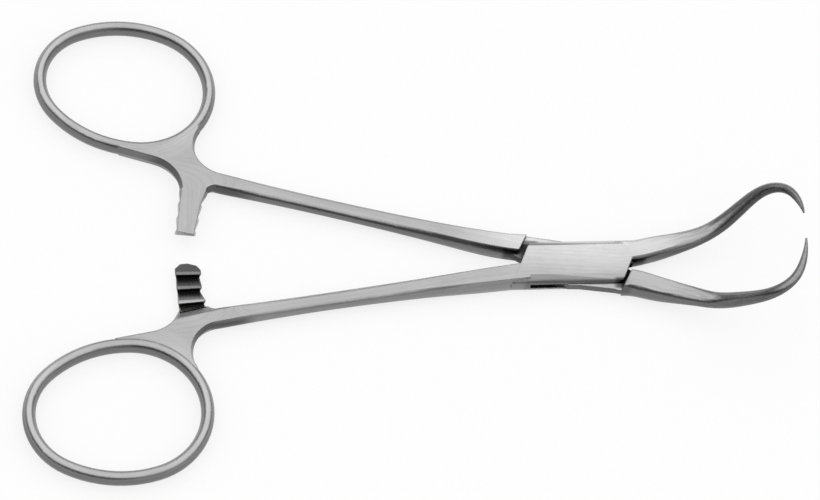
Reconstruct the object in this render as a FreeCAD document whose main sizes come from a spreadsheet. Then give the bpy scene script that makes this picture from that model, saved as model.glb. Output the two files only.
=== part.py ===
# Towel clamp: two forged halves with ring handles, a ratchet, a box lock and hooked, pointed jaws.
# Lengths in millimetres, angles in degrees.
# The clamp lies flat with its jaws toward +X and the rings toward -X.
# The origin is on the pivot axis, in the plane that the box lock rests on.
import FreeCAD, Part
import Sketcher
import math
import os

doc = FreeCAD.newDocument("towel_clamp")
V = FreeCAD.Vector

# Driving sizes
SIZES = {
    "box_thickness": 3.9,
    "box_half_width": 4.4,
    "box_side_bulge": 1.5,
    "box_back": 8.75,
    "box_front": 8.5,
    "box_lean": 21.0,
    "box_line_offset": 0.3,
    "box_line_slope": 0.078,
    "slot_height": 1.5,
    "running_gap": 0.05,
    "pin_radius": 1.3,
    "pin_bore_gap": 0.06,
    "shoulder_back": 9.75,
    "shoulder_front": 8.95,
    "shoulder_lean": 25.0,
    "shank_start": 8.2,
    "shank_reach": 61.0,
    "shank_overrun": 1.4,
    "shank_slope": 0.217,
    "box_shank_bow": 0.27,
    "tongue_line_start": 0.45,
    "tongue_line_end": 0.11,
    "tongue_root_rise": 0.5,
    "shank_root_half": 1.95,
    "shank_waist_half": 1.5,
    "shank_end_half": 1.66,
    "shank_end_thickness": 2.75,
    "ring_setback": 16.1,
    "ring_rise": 18.96,
    "ring_long_half": 14.62,
    "ring_cross_half": 12.37,
    "ring_flank_drop": 6.99,
    "ring_fullness": 1.2,
    "ring_lean": 12.0,
    "ring_wire_width": 2.2,
    "ring_wire_depth": 3.1,
    "ring_wire_crown": 0.85,
    "yoke_thickness": 2.75,
    "yoke_draft": 16.0,
    "yoke_fillet": 3.5,
    "arm_setback": 4.6,
    "arm_width": 3.9,
    "arm_draft": 12.0,
    "arm_gap": 0.06,
    "plain_arm_end": 1.9,
    "toothed_arm_end": 2.4,
    "ramp_foot": 11.75,
    "ramp_run": 2.2,
    "ramp_lean": 17.0,
    "tooth_pitch": 2.75,
    "tooth_land": 0.5,
    "tooth_depth": 0.95,
    "tooth_first": 5.15,
    "under_tooth_first": 3.0,
    "toothed_lead_slope": 0.33,
    "plain_lead_slope": 1.4,
    "jaw_root": 6.0,
    "jaw_reach": 36.25,
    "jaw_spread": 10.1,
    "jaw_lift": 16.35,
    "blade_root_half": 2.2,
    "bend_half": 1.35,
    "hook_half": 0.78,
    "tip_half": 0.15,
}

sheet = doc.addObject("Spreadsheet::Sheet", "sizes")
for row, (name, value) in enumerate(SIZES.items(), start=1):
    sheet.set("A%d" % row, name)
    sheet.set("B%d" % row, str(value))
    sheet.setAlias("B%d" % row, name)
doc.recompute()


# A length that carries its number and the text that ties it to the sheet
class Size:
    def __init__(self, value, text):
        self.value = value
        self.text = text

    def __add__(self, other):
        other = as_size(other)
        return Size(self.value + other.value, "(%s + %s)" % (self.text, other.text))

    def __sub__(self, other):
        other = as_size(other)
        return Size(self.value - other.value, "(%s - %s)" % (self.text, other.text))

    def __mul__(self, other):
        other = as_size(other)
        return Size(self.value * other.value, "(%s * %s)" % (self.text, other.text))

    def __truediv__(self, other):
        other = as_size(other)
        return Size(self.value / other.value, "(%s / %s)" % (self.text, other.text))

    def __neg__(self):
        return Size(-self.value, "(0 - %s)" % self.text)


def as_size(thing):
    if isinstance(thing, Size):
        return thing
    return Size(float(thing), "%.5f" % float(thing) if thing >= 0 else "(0 - %.5f)" % -float(thing))


def named(name):
    return Size(float(sheet.get(name)), "sizes." + name)


def number(name):
    return float(sheet.get(name))


def mix(first, second, part):
    return as_size(first) * (1.0 - part) + as_size(second) * part


def ease(part):
    part = min(max(part, 0.0), 1.0)
    return part * part * (3.0 - 2.0 * part)


# Middle plane of the clamp
MID = number("box_thickness") / 2.0
MID_TEXT = "sizes.box_thickness / 2"

# Half of the clamp that lies toward +Y behind the pivot, and half that lies toward -Y
TONGUE_SIDE = 1
BOX_SIDE = -1


def plane(body, role):
    for feature in body.Origin.OriginFeatures:
        if feature.Role == role:
            return feature
    return None


# A sketch on the body's own flat plane, moved to where it is needed
def new_sketch(body, name, placement):
    sketch = body.newObject("Sketcher::SketchObject", name)
    sketch.AttachmentSupport = (plane(body, "XY_Plane"), [""])
    sketch.MapMode = "FlatFace"
    sketch.AttachmentOffset = placement
    return sketch


def flat(height):
    return FreeCAD.Placement(V(0, 0, height), FreeCAD.Rotation())


# A flat sketch at a height that stays tied to the sheet
def flat_sketch(body, name, height, text):
    sketch = new_sketch(body, name, flat(height))
    sketch.setExpression("AttachmentOffset.Base.z", text)
    return sketch


# A placement from the three directions of a sketch: its own x, y and normal
def framed(origin, across, upward, along):
    matrix = FreeCAD.Matrix(
        across.x, upward.x, along.x, origin.x,
        across.y, upward.y, along.y, origin.y,
        across.z, upward.z, along.z, origin.z,
        0, 0, 0, 1)
    return FreeCAD.Placement(matrix)


def tie_point(sketch, edge, end, x, y):
    for kind, wanted in (("DistanceX", x), ("DistanceY", y)):
        wanted = as_size(wanted)
        index = sketch.addConstraint(Sketcher.Constraint(kind, -1, 1, edge, end, wanted.value))
        sketch.setExpression("Constraints[%d]" % index, wanted.text)


# Bar section with a flat top and bottom and bulging sides
def bar_section(body, name, placement, half, height, flat_half):
    sketch = new_sketch(body, name, placement)
    half, height, flat_half = as_size(half), as_size(height), as_size(flat_half)
    w, h, f = half.value, height.value, flat_half.value
    bulge = half - flat_half
    radius = (bulge * bulge + height * height) / (bulge * 2.0)
    corners = [V(-f, h, 0), V(f, h, 0), V(f, -h, 0), V(-f, -h, 0)]
    sketch.addGeometry(Part.LineSegment(corners[0], corners[1]), False)
    sketch.addGeometry(Part.Arc(corners[1], V(w, 0, 0), corners[2]), False)
    sketch.addGeometry(Part.LineSegment(corners[2], corners[3]), False)
    sketch.addGeometry(Part.Arc(corners[3], V(-w, 0, 0), corners[0]), False)
    sketch.addConstraint(Sketcher.Constraint("Coincident", 0, 2, 1, 2))
    sketch.addConstraint(Sketcher.Constraint("Coincident", 1, 1, 2, 1))
    sketch.addConstraint(Sketcher.Constraint("Coincident", 2, 2, 3, 2))
    sketch.addConstraint(Sketcher.Constraint("Coincident", 3, 1, 0, 1))
    tie_point(sketch, 0, 1, -flat_half, height)
    tie_point(sketch, 0, 2, flat_half, height)
    tie_point(sketch, 2, 1, flat_half, -height)
    tie_point(sketch, 2, 2, -flat_half, -height)
    for edge in (1, 3):
        index = sketch.addConstraint(Sketcher.Constraint("Radius", edge, radius.value))
        sketch.setExpression("Constraints[%d]" % index, radius.text)
    return sketch


# A closed outline of straight and curved edges.
# Each item is a corner (x, y), or (x, y, middle) where the edge that leaves it curves through middle.
def outline(sketch, corners):
    count = len(corners)
    first = sketch.GeometryCount
    points = [V(as_size(c[0]).value, as_size(c[1]).value, 0) for c in corners]
    ends = []
    radii = {}
    for i in range(count):
        start, stop = points[i], points[(i + 1) % count]
        if len(corners[i]) == 3:
            middle = V(as_size(corners[i][2][0]).value, as_size(corners[i][2][1]).value, 0)
            arc = Part.Arc(start, middle, stop)
            sketch.addGeometry(arc, False)
            radii[i] = arc.toShape().Curve.Radius
            turn = (middle - start).cross(stop - middle).z
            ends.append((1, 2) if turn > 0 else (2, 1))
        else:
            sketch.addGeometry(Part.LineSegment(start, stop), False)
            ends.append((1, 2))
    for i in range(count):
        after = (i + 1) % count
        joint = Sketcher.Constraint("Coincident", first + i, ends[i][1], first + after, ends[after][0])
        sketch.addConstraint(joint)
    for i in range(count):
        tie_point(sketch, first + i, ends[i][0], corners[i][0], corners[i][1])
        if i in radii:
            sketch.addConstraint(Sketcher.Constraint("Radius", first + i, radii[i]))
    return sketch


def add_pad(body, name, sketch, length, draft):
    pad = body.newObject("PartDesign::Pad", name)
    pad.Profile = sketch
    pad.SideType = "Symmetric"
    pad.setExpression("Length", as_size(length).text)
    if draft:
        pad.setExpression("TaperAngle", (-draft).text)
    return pad


def add_one_way(body, name, sketch, length, draft, down):
    pad = body.newObject("PartDesign::Pad", name)
    pad.Profile = sketch
    pad.setExpression("Length", as_size(length).text)
    pad.Reversed = down
    pad.setExpression("TaperAngle", (-draft).text)
    return pad


def cut_through(body, name, sketch, length):
    pocket = body.newObject("PartDesign::Pocket", name)
    pocket.Profile = sketch
    pocket.SideType = "Symmetric"
    pocket.setExpression("Length", as_size(length).text)
    return pocket


def cut_one_way(body, name, sketch, length, upward):
    pocket = body.newObject("PartDesign::Pocket", name)
    pocket.Profile = sketch
    pocket.setExpression("Length", as_size(length).text)
    pocket.Reversed = upward
    return pocket


def add_loft(body, name, sketches):
    loft = body.newObject("PartDesign::AdditiveLoft", name)
    loft.Profile = sketches[0]
    loft.Sections = sketches[1:]
    return loft


# Centre line of the shank, as height above the mirror line at a distance behind the pivot.
# The box half bows out a little at both ends, the tongue half swings out close to the lock.
SWING_LENGTH = 20.0


def shank_line(distance, side):
    share = distance / number("shank_reach")
    rise = number("shank_slope") * distance
    if side == TONGUE_SIDE:
        near = max(0.0, (SWING_LENGTH - distance) / 8.0) ** 2
        rise += mix(number("tongue_line_start"), number("tongue_line_end"), share).value
        rise += number("tongue_root_rise") * near
    else:
        rise += number("box_shank_bow") * ((share - 0.6) / 0.38) ** 2
    return rise


# Height of the shank's end above the mirror line, which the ring and the yoke are set out from
def handle_height():
    return named("shank_reach") * named("shank_slope")


# Shank as a loft of bar sections, thick at the box lock and slender at the yoke.
# It runs on a little inside the yoke, so that no groove is left between the two.
def add_shank(body, side):
    reach = number("shank_reach")
    first = number("shank_start")
    last = reach + number("shank_overrun")
    count = 8
    sketches = []
    for i in range(count):
        distance = last + (first - last) * i / (count - 1)
        part = distance / reach
        if part > 0.72:
            half = mix(named("shank_waist_half"), named("shank_end_half"), ease((part - 0.72) / 0.28))
        else:
            half = mix(named("shank_root_half"), named("shank_waist_half"), ease((part - 0.12) / 0.6) ** 0.8)
        thin = ease((part - 0.13) / 0.5)
        height = mix(named("box_thickness"), named("shank_end_thickness"), thin) * 0.5
        flat_half = half * (0.78 - 0.36 * thin + 0.32 * ease((part - 0.8) / 0.22))
        origin = V(-distance, side * shank_line(distance, side), MID)
        place = framed(origin, V(0, 1, 0), V(0, 0, 1), V(1, 0, 0))
        sketches.append(bar_section(body, body.Name + "_shank_%d" % i, place, half, height, flat_half))
    return add_loft(body, body.Name + "_shank", sketches)


# Centre line of the jaw in shares of its reach, its spread and its lift.
# It runs out as a flat blade, bends up out of the plane of the rings and hooks in to the point.
JAW_LINE = [
    (0.0, 0.213, 0.0),
    (0.218, 0.362, 0.024),
    (0.362, 0.481, 0.052),
    (0.463, 0.569, 0.084),
    (0.566, 0.682, 0.145),
    (0.661, 0.804, 0.290),
    (0.760, 0.950, 0.513),
    (0.860, 1.000, 0.716),
    (0.937, 0.877, 0.833),
    (0.981, 0.640, 0.905),
    (1.000, 0.250, 1.000),
]

# Places of the jaw's sections, in shares of its length
JAW_STATIONS = (
    0.0, 0.08, 0.17, 0.27, 0.36, 0.42, 0.48, 0.55, 0.63, 0.7, 0.77, 0.83, 0.89, 0.94, 0.98, 1.0,
)
BLADE_END = 0.5
HOOK_START = 0.83


def jaw_curve(side):
    root, reach = number("jaw_root"), number("jaw_reach")
    spread, lift = number("jaw_spread"), number("jaw_lift")
    points = []
    for forward, sideways, upward in JAW_LINE:
        points.append(V(root + (reach - root) * forward, side * spread * sideways, MID + lift * upward))
    curve = Part.BSplineCurve()
    curve.interpolate(points)
    return curve


# Jaw as a loft of bar sections that shrink from the blade to the point
def add_jaw(body, side):
    curve = jaw_curve(side)
    length = curve.length()
    sketches = []
    for i, part in enumerate(JAW_STATIONS):
        at = curve.parameterAtDistance(length * part)
        along = curve.tangent(at)[0]
        tilt = math.radians(3.0 * ease(part / 0.3) + 44.0 * ease((part - 0.33) / 0.15))
        across = V(-math.sin(tilt), 0, math.cos(tilt)).cross(along).normalize()
        upward = along.cross(across)
        if part < BLADE_END:
            half = mix(named("blade_root_half"), named("bend_half"), ease((part - 0.1) / 0.4))
            height = mix(named("box_thickness") * 0.5, named("bend_half") * 0.98, ease((part + 0.06) / 0.56))
            flat_half = half * (0.68 - 0.36 * ease((part - 0.2) / 0.2))
        else:
            if part < HOOK_START:
                share = (part - BLADE_END) / (HOOK_START - BLADE_END)
                half = mix(named("bend_half"), named("hook_half"), share)
            else:
                share = (part - HOOK_START) / (1.0 - HOOK_START)
                half = mix(named("hook_half"), named("tip_half"), share ** 1.5)
            height = half * 0.98
            flat_half = half * 0.32
        if part == 0.0:
            height = height * 0.9
        place = framed(curve.value(at), across, upward, along)
        sketches.append(bar_section(body, body.Name + "_jaw_%d" % i, place, half, height, flat_half))
    return add_loft(body, body.Name + "_jaw", sketches)


# Finger ring: an oval of four round arcs, with its fuller end toward the yoke.
# The values are the centres and radii of its two ends and its two flanks, along the oval's long axis.
def ring_arcs():
    long_half, cross_half = number("ring_long_half"), number("ring_cross_half")
    drop, shift = number("ring_flank_drop"), number("ring_fullness")
    flank = cross_half + drop
    spare = flank ** 2 - drop ** 2
    near = (spare - (long_half - shift) ** 2) / (2.0 * (flank - long_half + shift))
    far = (spare - (long_half + shift) ** 2) / (2.0 * (flank - long_half - shift))
    ends = {1: (long_half - near, near), -1: (far - long_half, far)}
    return ends, (shift, -drop, flank)


# Point where the upper flank meets the end on that side
def ring_joint(end):
    ends, (shift, drop, flank) = ring_arcs()
    centre = V(shift, drop, 0)
    return centre + (V(ends[end][0], 0, 0) - centre).normalize() * flank


# Point of the oval in the direction of an angle, seen from the ring's own centre
def ring_local(turn):
    ends, (shift, drop, flank) = ring_arcs()
    c, s = math.cos(math.radians(turn)), math.sin(math.radians(turn))
    ray = V(c, abs(s), 0)

    def reach_to(centre, radius):
        middle = ray.dot(centre)
        return middle + math.sqrt(radius ** 2 - centre.dot(centre) + middle ** 2)

    point = ray * reach_to(V(shift, drop, 0), flank)
    for end in (1, -1):
        if end * (point.x - ring_joint(end).x) > 0.0:
            point = ray * reach_to(V(ends[end][0], 0, 0), ends[end][1])
            break
    return V(point.x, math.copysign(point.y, s), 0)


# Place of the ring's own centre and axes
def ring_place(side, height):
    x = -number("shank_reach") - number("ring_setback")
    y = side * (handle_height().value + number("ring_rise"))
    lean = -side * number("ring_lean")
    return FreeCAD.Placement(V(x, y, height), FreeCAD.Rotation(V(0, 0, 1), lean))


def ring_point(side, turn):
    point = ring_place(1, 0.0).multVec(ring_local(turn))
    return V(point.x, side * point.y, 0)


# Section of the ring's wire: deeper than it is wide, drawn with four round arcs
def wire_section(sketch, away):
    wide, deep = number("ring_wire_width") / 2.0, number("ring_wire_depth") / 2.0
    crown = number("ring_wire_crown")
    drop = ((deep - crown) ** 2 - (wide - crown) ** 2) / (2.0 * (wide - crown))
    joint = V(drop, deep - crown, 0).normalize() * (wide + drop)
    x, y = joint.x - drop, joint.y
    return outline(sketch, [
        (away + x, -y, (away + wide, 0.0)),
        (away + x, y, (away, deep)),
        (away - x, y, (away - wide, 0.0)),
        (away - x, -y, (away, -deep)),
    ])


# Each arc of the ring is the wire's section turned about the arc's own centre
def add_ring(body, side):
    ends, (shift, drop, flank) = ring_arcs()
    near, far = ring_joint(1), ring_joint(-1)
    under_near, under_far = V(near.x, -near.y, 0), V(far.x, -far.y, 0)
    arcs = [
        (V(ends[1][0], 0, 0), under_near, near),
        (V(shift, drop, 0), near, far),
        (V(ends[-1][0], 0, 0), far, under_far),
        (V(shift, -drop, 0), under_far, under_near),
    ]
    place = ring_place(side, MID)
    for i, (centre, start, stop) in enumerate(arcs):
        outward = place.Rotation.multVec(start - centre).normalize()
        frame = framed(place.multVec(centre), outward, V(0, 0, 1), outward.cross(V(0, 0, 1)))
        section = new_sketch(body, "%s_ring_section_%d" % (body.Name, i), frame)
        wire_section(section, (start - centre).Length)
        turn = body.newObject("PartDesign::Revolution", "%s_ring_%d" % (body.Name, i))
        turn.Profile = section
        turn.ReferenceAxis = (section, ["V_Axis"])
        turn.Angle = math.degrees((start - centre).getAngle(stop - centre))


# Yoke: the flat web that joins ring, ratchet arm and shank
def add_yoke(body, side):
    sketch = flat_sketch(body, body.Name + "_yoke_outline", MID, MID_TEXT)
    reach = named("shank_reach")
    handle = handle_height()
    line = shank_line(number("shank_reach"), side)
    half = named("shank_end_half")
    arm = named("shank_reach") + named("arm_setback")
    wide = named("arm_width") * 0.5
    inset = named("yoke_fillet")
    a = ring_point(1, 12.0)
    b = ring_point(1, 278.0)
    m = ring_point(1, 320.0)
    corners = [
        (-reach, (half * 0.98 + line) * side, (-reach - inset, (handle + half + 3.2) * side)),
        (-arm + 1.5, (handle + 10.15) * side),
        (a.x, a.y * side, (m.x, m.y * side)),
        (b.x, b.y * side),
        (b.x - 0.4, (b.y - 1.05) * side),
        (-arm - 6.4, (handle + 3.75) * side, (-arm - inset, (handle + 2.05) * side)),
        (-arm - wide + 0.1, (handle - 1.85) * side),
        (-arm - wide, (handle - 4.65) * side),
        (-arm + wide + 0.15, (handle - 4.65) * side),
        (-arm + wide + 0.5, (handle - 3.35) * side, (-arm + 2.85, (handle - 2.15) * side)),
        (-reach + 0.2, (-half * 0.98 + line) * side),
    ]
    outline(sketch, corners)
    return add_pad(body, body.Name + "_yoke", sketch, named("yoke_thickness"), named("yoke_draft"))


# Ratchet arm: half as thick as the yoke, so that the two arms pass one above the other
def add_arm(body, side, toothed):
    sign = -1.0 if toothed else 1.0
    start = MID + sign * number("arm_gap") / 2.0
    text = "%s %s sizes.arm_gap / 2" % (MID_TEXT, "-" if toothed else "+")
    sketch = flat_sketch(body, body.Name + "_arm_outline", start, text)
    handle = handle_height()
    arm = named("shank_reach") + named("arm_setback")
    wide = named("arm_width") * 0.5
    root = handle - 1.65
    neck = handle - 5.25
    if toothed:
        end = named("toothed_arm_end")
        nose = [
            (-arm - wide - 0.65, (end + 1.6) * side),
            (-arm - wide * 0.6 - 0.6, (end + 0.3) * side),
            (-arm - 0.4, end * side),
            (-arm + wide * 0.7 - 0.2, (end + 0.5) * side),
            (-arm + wide - 0.15, (end + 1.6) * side),
            (-arm + wide + 0.05, neck * side),
        ]
    else:
        end = named("plain_arm_end")
        nose = [
            (-arm - wide - 0.7, (end + 0.35) * side),
            (-arm + wide - 1.25, (end - 0.25) * side),
            (-arm + wide - 0.1, neck * side),
        ]
    root_left = (-arm - wide + 0.05, root * side)
    root_right = (-arm + wide + 1.1, root * side)
    outline(sketch, [root_left] + nose + [root_right])
    depth = (named("yoke_thickness") - named("arm_gap")) * 0.5
    return add_one_way(body, body.Name + "_arm", sketch, depth, named("arm_draft"), toothed)


# A cut across the arm, seen from its side.
# The sketch starts on the arm's inner face at a distance from the mirror line, with x away from
# the arm's end and y into the arm, and it is turned by an angle about the upright axis.
def cut_across(body, name, side, toothed, start, turn, points, length):
    face = -1.0 if toothed else 1.0
    arm = number("shank_reach") + number("arm_setback")
    turn = math.radians(turn)
    origin = V(-arm, side * start.value, MID + face * number("arm_gap") / 2.0)
    away = V(math.sin(turn), side * math.cos(turn), 0)
    place = framed(origin, away, V(0, 0, face), away.cross(V(0, 0, face)))
    sketch = new_sketch(body, name + "_outline", place)
    outline(sketch, points)
    return cut_through(body, name, sketch, length)


# Ramp: clears the yoke above the arm's inner face, so that the other arm can ride in
def cut_ramp(body, side, toothed):
    run = named("ramp_run")
    rise = (named("yoke_thickness") + named("arm_gap")) * 0.5
    clear = named("ramp_foot") - 4.0
    points = [(0.0, 0.0), (run * 1.2, -rise * 1.2), (-clear, -rise * 1.2), (-clear, 0.0)]
    foot = named("ramp_foot")
    return cut_across(
        body, body.Name + "_ramp", side, toothed, foot, number("ramp_lean"), points, named("arm_width") * 3.2)


# Ratchet teeth: three notches, steep on the side of the arm's end, and a lead-in at the end.
# Each notch points at the pivot, so that the teeth of both arms stay parallel as the clamp closes.
OVER_FACE = 0.3


def cut_teeth(body, side, toothed):
    arm = number("shank_reach") + number("arm_setback")
    first = named("tooth_first") if toothed else named("under_tooth_first")
    depth = named("tooth_depth")
    lead = named("toothed_lead_slope") if toothed else named("plain_lead_slope")
    run = named("tooth_pitch") - named("tooth_land")
    spill = run * OVER_FACE / depth
    for k in range(3):
        start = first + named("tooth_pitch") * float(k)
        turn = math.degrees(math.atan2(start.value, arm))
        points = [(0.0, -OVER_FACE), (0.0, depth), (run + spill, -OVER_FACE)]
        name = "%s_notch_%d" % (body.Name, k)
        cut_across(body, name, side, toothed, start, turn, points, named("arm_width") * 1.5)
    start = first - named("tooth_land")
    turn = math.degrees(math.atan2(start.value, arm))
    points = [(1.0, -lead), (-4.0, lead * 4.0), (-4.0, -lead)]
    cut_across(body, body.Name + "_lead_in", side, toothed, start, turn, points, named("arm_width") * 1.5)


# A straight line across the lock, leaned over, at a distance from the pivot.
# Gives the x of the line at a height y, for the back (-1) or the front (+1).
def lean_x(end, distance, lean, y):
    tilt = math.radians(lean)
    return (end * distance + y * math.sin(tilt)) / math.cos(tilt)


# Half width of the area that the cuts across the lock cover, and half length of the block before its
# ends are cut
CLEAR = 9.0
BLOCK_HALF = 12.5


# Box block: the wide middle of the box half, with its two leaning end faces
def add_block(body):
    sketches = []
    half = named("box_half_width")
    height = named("box_thickness") * 0.5
    for i, x in enumerate((-BLOCK_HALF, BLOCK_HALF)):
        centre = number("box_line_offset") + number("box_line_slope") * x
        place = framed(V(x, centre, MID), V(0, 1, 0), V(0, 0, 1), V(1, 0, 0))
        sketches.append(bar_section(body, "block_%d" % i, place, half, height, half - named("box_side_bulge")))
    add_loft(body, "block", sketches)
    trim = new_sketch(body, "block_ends", flat(MID))
    lean = number("box_lean")
    for end, distance in ((-1.0, number("box_back")), (1.0, number("box_front"))):
        far = end * 20.0
        top, bottom = lean_x(end, distance, lean, CLEAR), lean_x(end, distance, lean, -CLEAR)
        outline(trim, [(far, -CLEAR), (far, CLEAR), (top, CLEAR), (bottom, -CLEAR)])
    cut_through(body, "block_trim", trim, named("box_thickness") * 2.0)


# Slot: the open space between the two walls of the box lock.
# Its narrow waists stop against the tongue half and leave it room to swing open.
def cut_slot(body):
    slot = flat_sketch(body, "slot_outline", MID, MID_TEXT)
    outline(slot, [
        (-7.8, -5.0), (-5.9, -8.5), (10.9, -8.5), (10.9, -0.6), (9.9, 0.6),
        (7.5, 5.0), (5.5, 8.5), (-11.4, 8.5), (-11.4, 0.2), (-10.7, -0.9),
    ])
    return cut_through(body, "slot", slot, named("slot_height"))


# Both halves are ground off in the plane that the clamp rests on
def grind_rest_face(body):
    sketch = new_sketch(body, body.Name + "_rest_outline", flat(0.0))
    outline(sketch, [(4.0, -CLEAR), (18.0, -CLEAR), (18.0, CLEAR), (4.0, CLEAR)])
    return cut_one_way(body, body.Name + "_rest_face", sketch, named("box_thickness") / 4.0, False)


def cut_bore(body, name, radius):
    sketch = new_sketch(body, name + "_circle", flat(MID))
    sketch.addGeometry(Part.Circle(V(0, 0, 0), V(0, 0, 1), radius.value), False)
    sketch.addConstraint(Sketcher.Constraint("Coincident", 0, 3, -1, 1))
    index = sketch.addConstraint(Sketcher.Constraint("Radius", 0, radius.value))
    sketch.setExpression("Constraints[%d]" % index, radius.text)
    return cut_through(body, name, sketch, named("box_thickness") * 2.0)


# Tongue: the thin middle of the other half, which turns in the slot
def add_tongue(body):
    sketch = flat_sketch(body, "tongue_outline", MID, MID_TEXT)
    outline(sketch, [
        (-12.0, 1.9), (-10.4, 1.1), (-1.5, -4.2), (0.5, -4.1), (7.4, -4.6), (9.5, -4.9),
        (11.0, -1.6), (9.7, -0.9), (1.5, 4.35), (-1.5, 4.4), (-8.3, 5.15), (-10.5, 5.4),
    ])
    return add_pad(body, "tongue", sketch, named("slot_height") - named("running_gap") * 2.0, None)


# Cheeks: the two recesses of the tongue half, above and below the tongue
def cut_cheeks(body):
    back, front, lean = number("shoulder_back"), number("shoulder_front"), number("shoulder_lean")
    for name, face in (("upper_cheek", 1.0), ("lower_cheek", -1.0)):
        start = MID + face * (number("slot_height") / 2.0 - number("running_gap"))
        sign = "+" if face > 0 else "-"
        text = "%s %s (sizes.slot_height / 2 - sizes.running_gap)" % (MID_TEXT, sign)
        sketch = flat_sketch(body, name + "_outline", start, text)
        outline(sketch, [
            (lean_x(-1.0, back, lean, -CLEAR), -CLEAR),
            (lean_x(1.0, front, lean, -CLEAR), -CLEAR),
            (lean_x(1.0, front, lean, CLEAR), CLEAR),
            (lean_x(-1.0, back, lean, CLEAR), CLEAR),
        ])
        cut_one_way(body, name, sketch, named("box_thickness"), face > 0)


# Handle: yoke, ring and ratchet arm of one half
def add_handle(body, side, toothed):
    add_yoke(body, side)
    cut_ramp(body, side, toothed)
    add_ring(body, side)
    add_arm(body, side, toothed)
    cut_teeth(body, side, toothed)


# Box half
box_half = doc.addObject("PartDesign::Body", "box_half")
box_half.Label = "box_half"
add_block(box_half)
add_shank(box_half, BOX_SIDE)
add_jaw(box_half, 1)
cut_slot(box_half)
grind_rest_face(box_half)
cut_bore(box_half, "wall_bore", named("pin_radius"))
add_handle(box_half, BOX_SIDE, True)

# Tongue half
tongue_half = doc.addObject("PartDesign::Body", "tongue_half")
tongue_half.Label = "tongue_half"
add_tongue(tongue_half)
add_jaw(tongue_half, -1)
add_shank(tongue_half, TONGUE_SIDE)
cut_cheeks(tongue_half)
grind_rest_face(tongue_half)
cut_bore(tongue_half, "tongue_bore", named("pin_radius") + named("pin_bore_gap"))
add_handle(tongue_half, TONGUE_SIDE, False)

# Pivot pin, pressed into both walls and riveted flush
pivot_pin = doc.addObject("Part::Cylinder", "pivot_pin")
pivot_pin.Label = "pivot_pin"
pivot_pin.setExpression("Radius", "sizes.pin_radius")
pivot_pin.setExpression("Height", "sizes.box_thickness")
doc.recompute()

bad = [(o.Name, o.State) for o in doc.Objects if "Invalid" in o.State or "Error" in o.State]
os.makedirs("parts", exist_ok=True)
for node in (box_half, tongue_half, pivot_pin):
    shape = node.Shape
    if bad or shape.isNull() or not shape.isValid() or len(shape.Solids) != 1:
        raise RuntimeError("%s did not build: %s" % (node.Label, bad))
    shape.exportStep("parts/%s.step" % node.Label)
    print(node.Label, round(shape.Volume, 2), len(shape.Faces))
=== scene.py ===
# %% [markdown]
# # A towel clamp in satin steel
#
# A towel clamp pins cloth around the place where a surgeon works.
# It is two steel forgings that cross in a box lock, with finger rings at one end,
# a ratchet between the rings and two hooked points at the other end.
#
# The shapes come finished from the CAD model, which is loaded here as a fixed frame.
# They could be modelled again with subdivision surfaces, but the CAD solids are exact already,
# so this lesson spends its effort on the finish of the metal, the light and the camera.

# %% Load the frame
import math

import bpy
from mathutils import Matrix, Vector

MM_PER_METRE = 1000.0

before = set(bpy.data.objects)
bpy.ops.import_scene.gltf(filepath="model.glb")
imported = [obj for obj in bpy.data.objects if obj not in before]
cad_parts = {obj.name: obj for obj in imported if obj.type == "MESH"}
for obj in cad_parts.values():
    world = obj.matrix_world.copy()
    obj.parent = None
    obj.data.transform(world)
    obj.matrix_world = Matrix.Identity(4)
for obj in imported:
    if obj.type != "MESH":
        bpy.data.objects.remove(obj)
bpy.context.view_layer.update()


# %% [markdown]
# ## Camera
#
# The photo looks down on the clamp from the side of the lower ring, at 57 degrees above the table,
# with the camera rolled so that the jaws point right and a little down.
# A camera could be placed by eye, with a constraint that keeps it on a target.
# Here its three directions are worked out, because the roll then stays exact
# and the picture can be laid over the photo.
#
# Angles are in radians and lengths in metres. TILT leans the view away from straight down,
# TURN swings it about the vertical and ROLL turns the picture.
# PIVOT is the middle of the lock. In the picture it lies PIVOT_RIGHT and PIVOT_UP from the centre,
# and HALF_WIDTH is half of what the picture takes in at that distance.

# %% Camera
TILT = 0.5784
TURN = 0.2266
ROLL = -0.2380
DISTANCE = 0.6328
HALF_WIDTH = 0.0697
PIVOT = Vector((0.0, 0.0, 0.00195))
PIVOT_RIGHT = 0.02814
PIVOT_UP = -0.00281
SENSOR_WIDTH = 36.0
NEAREST_SEEN = 0.05
FARTHEST_SEEN = 50.0

right = Vector((math.cos(TURN), -math.sin(TURN), 0.0))
up = Vector((math.sin(TURN) * math.cos(TILT), math.cos(TURN) * math.cos(TILT), math.sin(TILT)))
back = right.cross(up)
image_right = right * math.cos(ROLL) - up * math.sin(ROLL)
image_up = right * math.sin(ROLL) + up * math.cos(ROLL)
eye = PIVOT + back * DISTANCE - image_right * PIVOT_RIGHT - image_up * PIVOT_UP

camera_data = bpy.data.cameras.new("camera")
camera_data.sensor_width = SENSOR_WIDTH
camera_data.lens = SENSOR_WIDTH / 2 * DISTANCE / HALF_WIDTH
camera_data.clip_start = NEAREST_SEEN
camera_data.clip_end = FARTHEST_SEEN
camera = bpy.data.objects.new("camera", camera_data)
camera.matrix_world = Matrix((
    (image_right.x, image_up.x, back.x, eye.x),
    (image_right.y, image_up.y, back.y, eye.y),
    (image_right.z, image_up.z, back.z, eye.z),
    (0.0, 0.0, 0.0, 1.0),
))
bpy.context.scene.collection.objects.link(camera)
bpy.context.scene.camera = camera
height_angle = math.degrees(math.asin(back.z))
print("camera", round(height_angle, 1), "degrees above the table, lens", round(camera_data.lens, 1), "mm")

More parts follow.
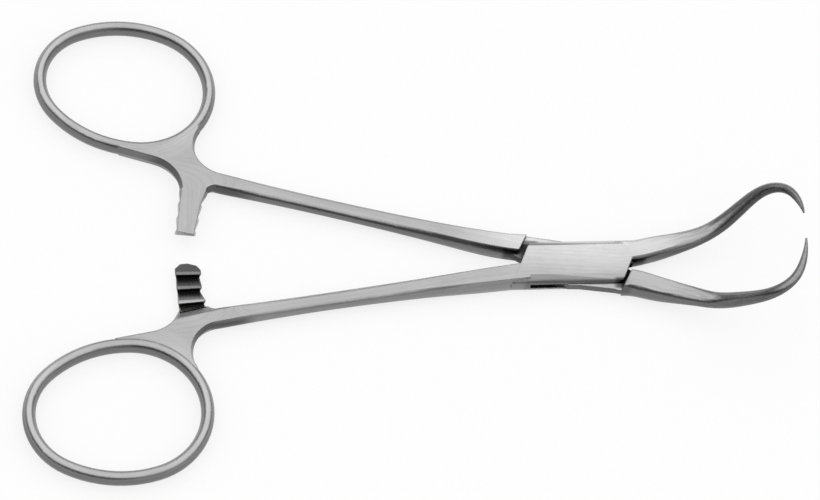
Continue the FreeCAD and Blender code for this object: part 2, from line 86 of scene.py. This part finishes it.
# %% [markdown]
# ## Helpers for materials
#
# A material is a graph of nodes, and each node is added and wired in a few lines of code.
# Node groups could hold what repeats, but plain functions keep every value in sight where it is used.
# One helper fills a socket with a number or a link, one adds a node and one does arithmetic.
# The paper under the clamp is the first material, and it starts with the nodes that any new one has.

# %% Node helpers


def connect(tree, value, socket):
    if isinstance(value, bpy.types.NodeSocket):
        tree.links.new(value, socket)
    else:
        socket.default_value = value


def add_node(tree, kind, **inputs):
    node = tree.nodes.new(kind)
    for name, value in inputs.items():
        connect(tree, value, node.inputs[name])
    return node


def calculate(tree, operation, *values):
    node = tree.nodes.new("ShaderNodeMath")
    node.operation = operation
    for socket, value in zip(node.inputs, values):
        connect(tree, value, socket)
    return node.outputs[0]


paper = bpy.data.materials.new("table_paper")
paper.use_nodes = True
print("a new material holds", [node.name for node in paper.node_tree.nodes])

# %% [markdown]
# ## Floor
#
# The clamp lies on a plain pale table.
# A white sweep or a lit backdrop would do as well; a single wide sheet is enough,
# because the lens is long and never sees past its far edge.
# The sheet lies a hair below zero, so that it shares no plane with the underside of the steel.

# %% Floor sheet
FLOOR_HALF = 8.0
FLOOR_DEPTH = 0.00002
SQUARE = ((-1, -1), (1, -1), (1, 1), (-1, 1))

floor_corners = [(x * FLOOR_HALF, y * FLOOR_HALF, -FLOOR_DEPTH) for x, y in SQUARE]
floor_mesh = bpy.data.meshes.new("floor")
floor_mesh.from_pydata(floor_corners, [], [(0, 1, 2, 3)])
floor_mesh.materials.append(paper)
floor = bpy.data.objects.new("floor", floor_mesh)
bpy.context.scene.collection.objects.link(floor)
print("floor", 2 * FLOOR_HALF, "m wide and", FLOOR_DEPTH * MM_PER_METRE, "mm below zero")

# %% [markdown]
# ## White paper
#
# In the photo the paper is almost white and the shadows on it are faint.
# Stronger light would whiten it too, but the steel would then turn too bright.
# So part of its brightness comes from the light, which keeps the shadow of the clamp,
# and the rest is a steady near-white that the eye and the metal both see.

# %% Paper
FLOOR_COLOUR = (0.93, 0.93, 0.93, 1.0)
STEADY_WHITE = (0.988, 0.988, 0.988, 1.0)
STEADY_SHARE = 0.8

sheet = paper.node_tree
lit = sheet.nodes["Principled BSDF"]
lit.inputs["Base Color"].default_value = FLOOR_COLOUR
lit.inputs["Roughness"].default_value = 1.0
lit.inputs["Specular IOR Level"].default_value = 0.0
ray = add_node(sheet, "ShaderNodeLightPath").outputs
seen = calculate(sheet, "MAXIMUM", ray["Is Camera Ray"], ray["Is Glossy Ray"])
seen = calculate(sheet, "MAXIMUM", seen, ray["Is Transmission Ray"])
steady = add_node(sheet, "ShaderNodeEmission", Color=STEADY_WHITE, Strength=1.0)
mixed = sheet.nodes.new("ShaderNodeMixShader")
steady_share = calculate(sheet, "MULTIPLY", seen, STEADY_SHARE)
for socket, value in zip(mixed.inputs, (steady_share, lit.outputs[0], steady.outputs[0])):
    connect(sheet, value, socket)
connect(sheet, mixed.outputs[0], sheet.nodes["Material Output"].inputs["Surface"])
print("paper is", STEADY_SHARE, "steady white, in", len(sheet.nodes), "nodes")

# %% [markdown]
# ## Sky
#
# Polished metal shows the room it stands in, so the room is the light.
# Lamps could light the clamp, and then the steel would mirror black between them.
# A sky has some brightness in every direction, so the world gets a graph of its own.
# It needs two more helpers, for changes that are never abrupt: one eases a number
# from one value to another, and one blends two numbers by a mask.

# %% Sky
def smooth_step(tree, value, low, high, start=0.0, end=1.0):
    """Number that eases from start to end while the value goes from low to high."""
    node = tree.nodes.new("ShaderNodeMapRange")
    node.interpolation_type = "SMOOTHSTEP"
    settings = {"Value": value, "From Min": low, "From Max": high, "To Min": start, "To Max": end}
    for name, setting in settings.items():
        connect(tree, setting, node.inputs[name])
    return node.outputs["Result"]


def blend(tree, mask, first, second):
    """Number between two numbers: first where the mask is 0, second where it is 1."""
    gap = calculate(tree, "SUBTRACT", second, first)
    return calculate(tree, "MULTIPLY_ADD", mask, gap, first)


world = bpy.data.worlds.new("studio")
bpy.context.scene.world = world
world.use_nodes = True
sky = world.node_tree
sky.nodes.clear()
direction = add_node(sky, "ShaderNodeTexCoord").outputs["Generated"]
toward = add_node(sky, "ShaderNodeSeparateXYZ", Vector=direction).outputs
print("the sky knows its direction as", toward.keys())

# %% [markdown]
# ## Canopy and room
#
# In the photo, flat faces are evenly pale while faces that lean toward the camera are dark,
# as under a wide white canopy that stops short of the camera, with a dark room below its edge.
# The room is paler on the far side, which lights the far flanks, and palest there close to the table.
# One more pale place, on the near right, softens the dark line along the lower shank.
#
# Area lamps could build that canopy panel by panel, but the panels' edges would show in the rings.
# A sky that changes softly with direction gives the same look without any edges.
# Each pair below is a range of one part of the direction:
# x from the rings to the jaws, y to the far side and z up.

# %% Canopy and room
SKY_WHITE = 1.30
CANOPY_EDGE_Z = (0.30, 0.66)
ROOM_NEAR = 0.08
ROOM_FAR = 0.30
ROOM_Y = (-0.3, 0.9)
FAR_STRIP = 0.7
STRIP_Z = (0.22, 0.08)
STRIP_Y = (0.2, 0.9)
RIGHT_OPENING = 0.48
OPENING_X = (0.05, 0.4)
OPENING_Y = (0.1, -0.3)

room = smooth_step(sky, toward["Y"], *ROOM_Y, ROOM_NEAR, ROOM_FAR)
strip = smooth_step(sky, toward["Z"], *STRIP_Z, 0.0, FAR_STRIP)
strip = calculate(sky, "MULTIPLY", strip, smooth_step(sky, toward["Y"], *STRIP_Y))
opening = smooth_step(sky, toward["X"], *OPENING_X, 0.0, RIGHT_OPENING)
opening = calculate(sky, "MULTIPLY", opening, smooth_step(sky, toward["Y"], *OPENING_Y))
room = calculate(sky, "ADD", calculate(sky, "ADD", room, strip), opening)
level = blend(sky, smooth_step(sky, toward["Z"], *CANOPY_EDGE_Z), room, SKY_WHITE)
backdrop = add_node(sky, "ShaderNodeBackground", Color=(1.0, 1.0, 1.0, 1.0), Strength=level)
add_node(sky, "ShaderNodeOutputWorld", Surface=backdrop.outputs[0])
bpy.context.scene.view_settings.view_transform = "Standard"
print("sky", SKY_WHITE, "overhead,", ROOM_NEAR, "to", ROOM_FAR, "at the horizon")

# %% [markdown]
# ## Places on the steel
#
# The photo shows one steel all over, so both halves and the pin share one material.
# With a material for each piece, the finish could break where they meet.
#
# Much of that finish depends on where a point lies on the clamp. Unwrapped coordinates could tell,
# but the point's own place is enough: Object coordinates stay with a piece when the lock opens.
# They are turned into millimetres: x from the rings to the jaws, y to the far side and z up.
# The distance from the middle line, called side, serves what both halves have alike.

# %% Places
steel = bpy.data.materials.new("satin_steel")
steel.use_nodes = True
metal = steel.node_tree

object_place = add_node(metal, "ShaderNodeTexCoord").outputs["Object"]
axes = add_node(metal, "ShaderNodeSeparateXYZ", Vector=object_place).outputs
x = calculate(metal, "MULTIPLY", axes["X"], MM_PER_METRE)
y = calculate(metal, "MULTIPLY", axes["Y"], MM_PER_METRE)
z = calculate(metal, "MULTIPLY", axes["Z"], MM_PER_METRE)
place = {"x": x, "y": y, "z": z}
side = calculate(metal, "ABSOLUTE", y)
print("places", list(place), "and side take", len(metal.nodes), "nodes")

# %% [markdown]
# ## Grain along shanks and jaws
#
# Forgings like these are ground on a belt and then brushed.
# Shanks and jaws are drawn along the wheel, so their grain is lengthwise.
# A brushed image could be unwrapped onto each piece. Here the place itself is bent instead:
# the line across the grain leans with the shank on one side of the lock and the jaw on the other.

# %% Grain along shanks and jaws
LOCK_END = 8.0
SHANK_SLOPE = 0.218
JAW_SLOPE = 0.25

down_shank = calculate(metal, "MAXIMUM", calculate(metal, "SUBTRACT", -LOCK_END, x), 0.0)
down_jaw = calculate(metal, "MAXIMUM", calculate(metal, "SUBTRACT", x, LOCK_END), 0.0)
across = calculate(metal, "MULTIPLY_ADD", down_shank, -SHANK_SLOPE, side)
across = calculate(metal, "MULTIPLY_ADD", down_jaw, -JAW_SLOPE, across)
print("grain leaves the lock at", LOCK_END, "mm, with slopes", SHANK_SLOPE, "and", JAW_SLOPE)

# %% [markdown]
# ## Grain around the rings
#
# A ring is turned against the wheel, so its grain goes round and round.
# A polar brushed image could be laid on it, but the seam of the image would need hiding.
# The angle and the radius about the middle of the ring do the same,
# and they take over softly where the ring begins.

# %% Grain around rings
RING_CENTRE = (-77.1, 32.2)
RING_MIDDLE_RADIUS = 13.3
RING_BEGINS = (17.5, 15.5)

from_x = calculate(metal, "SUBTRACT", x, RING_CENTRE[0])
from_y = calculate(metal, "SUBTRACT", side, RING_CENTRE[1])
y_squared = calculate(metal, "MULTIPLY", from_y, from_y)
squares = calculate(metal, "MULTIPLY_ADD", from_x, from_x, y_squared)
radius = calculate(metal, "SQRT", squares)
around = calculate(metal, "MULTIPLY", calculate(metal, "ARCTAN2", from_y, from_x), RING_MIDDLE_RADIUS)
on_ring = smooth_step(metal, radius, *RING_BEGINS)
along = blend(metal, on_ring, x, around)
across = blend(metal, on_ring, across, radius)
print("grain goes round within", RING_BEGINS[1], "mm of", RING_CENTRE)

# %% [markdown]
# ## Grain along the ratchet arms
#
# The arms stand across the clamp, and their grain runs along them, square to that of the shanks.
# A separate material for the arms would cut the grain off at a line.
# Turning the two directions works without one, and two shifts make the marks of the arm
# meet those of the shank.

# %% Grain along ratchet arms
ARM_BEGINS_X = (-56.0, -60.0)
ARM_BEGINS_SIDE = (18.0, 8.0)
ARM_SHIFT_ALONG = 77.0
ARM_SHIFT_ACROSS = 64.8

arm_x = smooth_step(metal, x, *ARM_BEGINS_X)
on_arm = calculate(metal, "MULTIPLY", arm_x, smooth_step(metal, side, *ARM_BEGINS_SIDE))
along = blend(metal, on_arm, along, calculate(metal, "SUBTRACT", side, ARM_SHIFT_ALONG))
across = blend(metal, on_arm, across, calculate(metal, "ADD", x, ARM_SHIFT_ACROSS))
print("grain turns between x", ARM_BEGINS_X[0], "and", ARM_BEGINS_X[1], "mm")

# %% [markdown]
# ## Marks of the brush
#
# A brush leaves marks of many lengths: hair-fine grain, short flecks and long streaks.
# Broad clouds show where the polish is uneven.
# Scratches could be drawn one by one, but noise stretched along the grain gives thousands at once.
# Each set below has the length and the width of its marks in millimetres, then its detail.

# %% Marks
FINE_GRAIN = (3.5, 0.06, 2.0)
FLECKS = (1.6, 0.25, 3.0)
STREAKS = (24.0, 0.4, 2.0)
CLOUDS = (7.0, 4.0, 3.0)
NOISE_ROUGHNESS = 0.55


def brush_marks(length, width, detail):
    """Noise from 0 to 1 that is stretched along the grain."""
    stretched = add_node(
        metal,
        "ShaderNodeCombineXYZ",
        X=calculate(metal, "MULTIPLY", along, 1.0 / length),
        Y=calculate(metal, "MULTIPLY", across, 1.0 / width),
        Z=calculate(metal, "MULTIPLY", z, 1.0 / width),
    )
    noise = add_node(metal, "ShaderNodeTexNoise", Vector=stretched.outputs[0], Scale=1.0)
    noise.inputs["Detail"].default_value = detail
    noise.inputs["Roughness"].default_value = NOISE_ROUGHNESS
    return noise.outputs["Fac"]


fine_grain = brush_marks(*FINE_GRAIN)
flecks = brush_marks(*FLECKS)
streaks = brush_marks(*STREAKS)
clouds = brush_marks(*CLOUDS)
print("marks from", FINE_GRAIN[1], "mm wide to", STREAKS[0], "mm long")

# %% [markdown]
# ## Zones on the clamp
#
# The tone of the steel changes from face to face with what each mirrors, and the zones paint that in as
# shade and highlights.
# Faces could get material slots of their own, but a slot ends in a hard line.
# Here a zone is a box on the clamp with soft sides, each given as two limits and a softness in mm,
# and it makes the steel inside it darker or brighter by one factor.
# The factors are kept in a list and multiplied at the end.

# %% Zone helpers
tones = []


def inside(value, low, high, soft):
    """Mask that is 1 between two limits and fades out across each of them."""
    rise = smooth_step(metal, value, low - soft, low + soft)
    fall = smooth_step(metal, value, high + soft, high - soft)
    return calculate(metal, "MULTIPLY", rise, fall)


def product(*values):
    result = values[0]
    for value in values[1:]:
        result = calculate(metal, "MULTIPLY", result, value)
    return result


def zone(limits):
    return product(*[inside(place[axis], *limit) for axis, limit in limits.items()])


def keep_tone(mask, tone):
    """Keep a factor that is tone where the mask is 1, and 1 where it is 0."""
    tones.append(blend(metal, mask, 1.0, tone))


print("a zone may be limited in", list(place))

# %% [markdown]
# ## Worn edges
#
# Tumbling rounds every edge a little and leaves it smoother, and a painted highlight makes it slightly
# brighter than the faces.
# A bevel modifier could round the edges too, but it would change the exact shape.
# The Bevel node only turns the shading over each edge. Where the turned normal leaves the true one
# there is an edge, so the same node also finds the edges without any painting.
# The pin is ground flush with the lock and can't be seen, so its own edge is left out.

# %% Worn edges
EDGE_RADIUS = 0.00045
EDGE_SAMPLES = 6
PIN_ZONE = (1.8, 2.0)
EDGE_AGREEMENT = (0.995, 0.93)

true_normal = add_node(metal, "ShaderNodeNewGeometry").outputs["Normal"]
rounded = add_node(metal, "ShaderNodeBevel", Radius=EDGE_RADIUS)
rounded.samples = EDGE_SAMPLES
pin_squares = calculate(metal, "MULTIPLY_ADD", x, x, calculate(metal, "MULTIPLY", y, y))
off_pin = smooth_step(metal, calculate(metal, "SQRT", pin_squares), *PIN_ZONE)

# A Mix node for vectors takes them in its sockets 4 and 5 and gives the result at its output 1.
turned = metal.nodes.new("ShaderNodeMix")
turned.data_type = "VECTOR"
for number, value in ((0, off_pin), (4, true_normal), (5, rounded.outputs[0])):
    connect(metal, value, turned.inputs[number])
soft_normal = turned.outputs[1]

agreement = metal.nodes.new("ShaderNodeVectorMath")
agreement.operation = "DOT_PRODUCT"
connect(metal, soft_normal, agreement.inputs[0])
connect(metal, true_normal, agreement.inputs[1])
edges = smooth_step(metal, agreement.outputs["Value"], *EDGE_AGREEMENT)
print("edges rounded to", EDGE_RADIUS * MM_PER_METRE, "mm")

# %% [markdown]
# ## Dark corners
#
# Inner corners, such as the tooth notches and the joint of the box lock, get painted shade:
# their colour is darkened where shade falls, and they are made duller.
# They could be painted by hand. Ambient occlusion finds them instead,
# because it measures how much of the open air near a point is closed off by other walls.
# The long seams beside the plate of the lock and the yokes at the rings show no dark line in the photo,
# so there only a small share of the painted shade is left.

# %% Dark corners
# Ambient occlusion below finds the corners that get painted shade in their colour.
CORNER_REACH = 0.0014
CORNER_SAMPLES = 12
OPEN_AIR = (0.86, 0.42)
NEAR_SEAM = {"x": (-14.0, 3.0, 3.0), "y": (-6.0, -3.2, 0.2)}
FAR_SEAM = {"x": (-14.0, 12.0, 0.5), "y": (3.6, 6.0, 0.2)}
SEAM_SHARE = 0.25
YOKE_X = (-56.0, -60.0)
YOKE_SIDE = (11.0, 14.0)
YOKE_SHARE = 0.1

shade = add_node(metal, "ShaderNodeAmbientOcclusion", Distance=CORNER_REACH)
shade.samples = CORNER_SAMPLES
corners = smooth_step(metal, shade.outputs["AO"], *OPEN_AIR)
seams = calculate(metal, "ADD", zone(NEAR_SEAM), zone(FAR_SEAM))
corners = product(corners, blend(metal, seams, 1.0, SEAM_SHARE))
on_yoke = product(smooth_step(metal, x, *YOKE_X), smooth_step(metal, side, *YOKE_SIDE))
corners = product(corners, blend(metal, on_yoke, 1.0, YOKE_SHARE))
print("corners found within", CORNER_REACH * MM_PER_METRE, "mm")

# %% [markdown]
# ## Flanks
#
# The flats keep the plain grey, while the flanks between them get painted shade and are darker.
# On the real clamp one passes into the other over a rounded edge, so two materials with a line
# between them would look cut out. The tone follows how far a face turns from level to upright.
# In the photo the flanks aren't equally dark. The yokes and the upper jaw are darkest,
# the lower shank and the lower ring are paler, and the plain upper arm is almost as pale as a flat.
# That comes from the room the flanks mirror, which no simple sky has, and the tones below are painted shade
# that stands in for it.

# %% Flanks
# Painted shade: flank colour is darkened to these shares of the flats' tone.
FLANK_TO_FLAT = (0.3, 0.85)
PAINTED_FLANK_SHADE = 0.46
LOWER_SHANK = {"x": (-56.0, -6.0, 2.0), "y": (-20.0, 0.5, 0.5)}
LOWER_FLANK_SHADE = 0.66
OUTER_FLANK_X = (-54.0, -58.0)
OUTER_FLANK_RADIUS = (15.0, 16.5)
YOKE_FLANK_SHADE = 0.26
LOWER_RING_X = (-84.0, -76.0)
LOWER_RING_Y = (-30.0, -36.0)
LOWER_RING_SHADE = 0.62
UPPER_JAW_X = (10.0, 18.0)
UPPER_JAW_Y = (-1.0, 1.0)
UPPER_JAW_FLANK_SHADE = 0.28
PLAIN_ARM = {"x": (-72.0, -58.0, 0.5), "y": (0.0, 9.0, 1.5)}
PLAIN_ARM_SHADE = 0.9

normal_z = add_node(metal, "ShaderNodeSeparateXYZ", Vector=true_normal).outputs["Z"]
levelness = calculate(metal, "ABSOLUTE", normal_z)
outer_flank = product(smooth_step(metal, x, *OUTER_FLANK_X), smooth_step(metal, radius, *OUTER_FLANK_RADIUS))
lower_ring = product(outer_flank, smooth_step(metal, x, *LOWER_RING_X), smooth_step(metal, y, *LOWER_RING_Y))
upper_jaw = product(smooth_step(metal, x, *UPPER_JAW_X), smooth_step(metal, y, *UPPER_JAW_Y))
flank_shade = blend(metal, zone(LOWER_SHANK), PAINTED_FLANK_SHADE, LOWER_FLANK_SHADE)
flank_shade = blend(metal, outer_flank, flank_shade, YOKE_FLANK_SHADE)
flank_shade = blend(metal, lower_ring, flank_shade, LOWER_RING_SHADE)
flank_shade = blend(metal, upper_jaw, flank_shade, UPPER_JAW_FLANK_SHADE)
flank_shade = blend(metal, zone(PLAIN_ARM), flank_shade, PLAIN_ARM_SHADE)
tones.append(smooth_step(metal, levelness, *FLANK_TO_FLAT, flank_shade, 1.0))
print("flanks from", YOKE_FLANK_SHADE, "to", PLAIN_ARM_SHADE, "of the flats")

# %% [markdown]
# ## Hooks and rings
#
# The hooks curl up out of the plane, and painted shade makes them a little darker as they rise.
# The flats of a ring get a painted highlight at its left and right.
# A gradient image could say the same, but the height and the angle about the ring are known already.

# %% Hooks and rings
HOOK_RISE = (4.5, 14.0)
# Painted shade: the hooks darken to this share as they rise.
HOOK_SHADE = 0.90
RING_FLAT = (0.8, 0.95)
# Painted highlight on the ring flats at their left and right.
RING_SIDE_HIGHLIGHT = 1.22

tones.append(smooth_step(metal, z, *HOOK_RISE, 1.0, HOOK_SHADE))
ring_side_highlight = calculate(metal, "DIVIDE", calculate(metal, "MULTIPLY", from_x, from_x), squares)
ring_side_highlight = product(on_ring, ring_side_highlight, smooth_step(metal, levelness, *RING_FLAT))
keep_tone(ring_side_highlight, RING_SIDE_HIGHLIGHT)
print("hooks", HOOK_SHADE, "and ring sides", RING_SIDE_HIGHLIGHT)

# %% [markdown]
# ## Box lock
#
# In the photo the plate of the lock is the brightest face of the clamp,
# more so toward its far edge, and that is a painted highlight. The wall below its near edge gets painted
# shade, the far shoulders a painted highlight where they catch the light, and the walls deep in both gaps of
# the lock painted shade.
# The brightest tones could come from a small lamp, but a lamp would shine on every flat alike.

# %% Box lock
LEVEL_FACE = (0.97, 0.995)
PLATE_X = (24.0, 8.0)
PLATE_Y = (-4.4, 4.4)
# Painted highlight on the plate, stronger toward its far edge.
PLATE_HIGHLIGHT = (1.06, 1.57)
NEAR_WALL = {"x": (-9.0, 9.0, 0.5), "y": (-8.0, -3.0, 0.1)}
# Painted shade on the wall below the near edge of the plate.
NEAR_WALL_SHADE = 0.68
FAR_SHOULDER = {"x": (-13.0, 12.0, 0.5), "y": (3.4, 8.0, 0.2)}
# Painted highlight on the far shoulders.
FAR_SHOULDER_HIGHLIGHT = 1.7
LEFT_GAP = {"x": (-12.5, -6.5, 0.5), "y": (0.3, 4.3, 0.2)}
RIGHT_GAP = {"x": (6.5, 12.0, 0.5), "y": (-4.3, 4.3, 0.2)}
GAP_TOP = (3.7, 3.4)
# Painted shade on the walls deep in both gaps.
GAP_SHADE = 0.32

level_face = smooth_step(metal, levelness, *LEVEL_FACE)
slanted_face = calculate(metal, "SUBTRACT", 1.0, level_face)
plate = product(level_face, smooth_step(metal, calculate(metal, "ABSOLUTE", x), *PLATE_X))
keep_tone(plate, smooth_step(metal, y, *PLATE_Y, *PLATE_HIGHLIGHT))
keep_tone(product(zone(FAR_SHOULDER), slanted_face), FAR_SHOULDER_HIGHLIGHT)
keep_tone(product(zone(NEAR_WALL), slanted_face), NEAR_WALL_SHADE)
gaps = calculate(metal, "ADD", zone(LEFT_GAP), zone(RIGHT_GAP))
keep_tone(product(gaps, smooth_step(metal, z, *GAP_TOP)), GAP_SHADE)
print("plate", PLATE_HIGHLIGHT, "and walls in the gaps", GAP_SHADE)

# %% [markdown]
# ## Ratchet teeth
#
# The teeth are cut into the arms and get painted shade.
# Those on the lower arm face up and show in the photo, darker than the plain arm opposite.
# The painted shade in the corners alone leaves their slanted faces too bright, so the whole toothed part is
# a zone of painted shade.

# %% Ratchet teeth
RATCHET = {"x": (-72.0, -58.0, 0.5), "y": (-9.0, -1.0, 0.5), "z": (0.6, 9.0, 0.2)}
# Painted shade over the whole toothed part of the lower arm.
RATCHET_SHADE = 0.5

keep_tone(zone(RATCHET), RATCHET_SHADE)
print(len(tones), "tones so far, in", len(metal.nodes), "nodes")

# %% [markdown]
# ## Satin
#
# Brushing leaves the steel satin: it mirrors the room, but softly.
# Streaks and clouds of uneven polish change the roughness a little, edges are smoother,
# and the corners, darkened with painted shade, are almost dull.
# A single roughness value would be quicker, but the flats would look like grey plastic.

# %% Roughness
LEAST_ROUGHNESS = 0.18
STREAK_ROUGHNESS = 0.07
CLOUD_ROUGHNESS = 0.08
EDGE_ROUGHNESS = 0.16
CORNER_ROUGHNESS = 0.55

rough = calculate(metal, "MULTIPLY_ADD", streaks, STREAK_ROUGHNESS, LEAST_ROUGHNESS)
rough = calculate(metal, "MULTIPLY_ADD", clouds, CLOUD_ROUGHNESS, rough)
rough = blend(metal, edges, rough, EDGE_ROUGHNESS)
rough = blend(metal, corners, rough, CORNER_ROUGHNESS)
shader = metal.nodes["Principled BSDF"]
shader.inputs["Metallic"].default_value = 1.0
connect(metal, rough, shader.inputs["Roughness"])
print("roughness from", EDGE_ROUGHNESS, "at edges to", CORNER_ROUGHNESS, "in corners")

# %% [markdown]
# ## Tone of the marks
#
# An even grey would be enough for a distant view. Close up, the marks of the brush show,
# so clouds, streaks and flecks each shift the tone by a few percent.
# They could be left to the bump alone, but its glints are too small to see at this distance.
# The streaks are stronger on the jaws, which also get painted shade that darkens them toward the hooks.

# %% Tone of the marks
NOISE_RANGE = (0.3, 0.7)
CLOUD_TONES = (0.96, 1.04)
FLECK_TONES = (0.97, 1.03)
SHANK_CONTRAST = 0.04
JAW_CONTRAST = 0.12
JAW_BEGINS = (12.0, 20.0)
JAW_DARKENS = (14.0, 28.0)
# Painted shade on the jaws, darkening toward the hooks.
JAW_SHADE = 0.80

contrast = blend(metal, smooth_step(metal, x, *JAW_BEGINS), SHANK_CONTRAST, JAW_CONTRAST)
streak_low = calculate(metal, "SUBTRACT", 1.0, contrast)
streak_high = calculate(metal, "ADD", 1.0, contrast)
tones.append(smooth_step(metal, streaks, *NOISE_RANGE, streak_low, streak_high))
tones.append(smooth_step(metal, clouds, *NOISE_RANGE, *CLOUD_TONES))
tones.append(smooth_step(metal, flecks, *NOISE_RANGE, *FLECK_TONES))
tones.append(smooth_step(metal, x, *JAW_DARKENS, 1.0, JAW_SHADE))
print("streaks shift the tone by", SHANK_CONTRAST, "on the shanks and", JAW_CONTRAST, "on the jaws")

# %% [markdown]
# ## Colour of the steel
#
# The steel in the photo is a neutral grey with no tint.
# Worn edges are a little brighter than that with a painted highlight, and the corners far darker with
# painted shade.
# Each finish could have its own colour, but one grey with one tone keeps the metal a single piece:
# all tones are multiplied into one, and that one scales the grey.

# %% Colour
STEEL = (0.382, 0.382, 0.382)
# Painted highlight: the colour over edges is lifted by this factor.
EDGE_HIGHLIGHT = 1.08
# Painted shade: the colour in the corners is darkened to this share.
PAINTED_CORNER_SHADE = 0.06

keep_tone(edges, EDGE_HIGHLIGHT)
keep_tone(corners, PAINTED_CORNER_SHADE)
colour = metal.nodes.new("ShaderNodeVectorMath")
colour.operation = "SCALE"
colour.inputs[0].default_value = STEEL
connect(metal, product(*tones), colour.inputs["Scale"])
connect(metal, colour.outputs[0], shader.inputs["Base Color"])
print("grey", STEEL[0], "times", len(tones), "tones")

# %% [markdown]
# ## Cut of the grain
#
# The brush cuts the grain into the surface, which breaks up the glints along it.
# Real grooves would need millions of faces; a faint bump of a few hundredths of a millimetre does it.
# It starts from the rounded normal, so that grain and soft edges work together.

# %% Bump
STREAK_HEIGHT = 0.5
BUMP_STRENGTH = 0.05
BUMP_DEPTH = 0.00004

height = calculate(metal, "MULTIPLY_ADD", streaks, STREAK_HEIGHT, fine_grain)
bump = add_node(metal, "ShaderNodeBump", Strength=BUMP_STRENGTH, Height=height, Normal=soft_normal)
bump.inputs["Distance"].default_value = BUMP_DEPTH
connect(metal, bump.outputs[0], shader.inputs["Normal"])
print("grain cut to", BUMP_DEPTH * MM_PER_METRE, "mm at strength", BUMP_STRENGTH)

# %% [markdown]
# ## Steel on every piece
#
# Nothing on this clamp is made of anything else, so the steel goes on whole pieces.
# Had a piece two materials, its faces would be told apart by material slots.
# Any material that the frame has put on a piece is cleared first.

# %% Steel on every piece
for name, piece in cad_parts.items():
    piece.data.materials.clear()
    piece.data.materials.append(steel)
    print(name, "gets", steel.name, "with", len(metal.nodes), "nodes")
